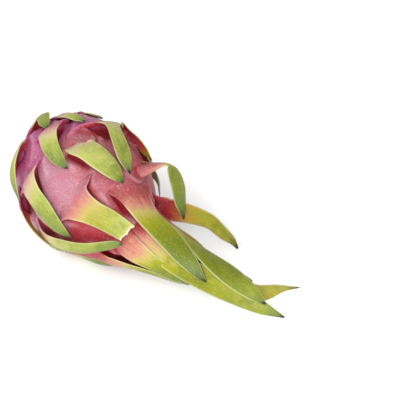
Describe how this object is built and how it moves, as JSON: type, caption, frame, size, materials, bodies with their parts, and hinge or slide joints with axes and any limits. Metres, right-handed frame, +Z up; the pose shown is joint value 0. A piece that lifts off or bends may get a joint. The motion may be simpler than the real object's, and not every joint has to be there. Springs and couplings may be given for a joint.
{
  "type": "dragon fruit",
  "caption": "Whole red dragon fruit lying on its side, with pink skin, green-tipped leaf-like scales and a tuft of long leaves",
  "frame": {"origin": "on the table under the middle of the fruit's bounding box", "axes": "+X along the fruit from the stem end towards the tuft, +Z up; the tuft bends towards +Y"},
  "size_m": [0.2386, 0.1298, 0.1001],
  "materials": {
    "skin": "waxy pink rind, finely speckled, satin",
    "scale": "fleshy scale, pink at the root, yellow-green blade, dark green tip, satin",
    "leaf": "long fleshy leaf, pink at the root, green blade with pale edges, satin",
    "stem": "green-brown woody stub with a pale cut end, matt",
    "flower": "withered brown flower remnant, papery, matt"
  },
  "bodies": {
    "root": {"fruit_body": "skin", "stem_stub": "stem", "crown_scale_1": "scale", "crown_scale_2": "scale", "crown_scale_3": "scale", "crown_scale_4": "scale", "crown_scale_5": "scale", "crown_scale_6": "scale", "crown_scale_7": "scale", "shoulder_scale_1": "scale", "shoulder_scale_2": "scale", "shoulder_scale_3": "scale", "shoulder_scale_4": "scale", "shoulder_scale_5": "scale", "shoulder_scale_6": "scale", "shoulder_scale_7": "scale", "belly_scale_1": "scale", "belly_scale_2": "scale", "belly_scale_3": "scale", "belly_scale_4": "scale", "belly_scale_5": "scale", "belly_scale_6": "scale", "belly_scale_7": "scale", "belly_scale_8": "scale", "belly_scale_9": "scale", "belly_scale_10": "scale", "tuft_leaf_1": "leaf", "tuft_leaf_2": "leaf", "tuft_leaf_3": "leaf", "tuft_leaf_4": "leaf", "tuft_leaf_5": "leaf", "tuft_leaf_6": "leaf", "tuft_leaf_7": "leaf", "tuft_leaf_8": "leaf", "tuft_leaf_9": "leaf", "tuft_leaf_10": "leaf", "dried_flower": "flower"}
  },
  "joints": []
}
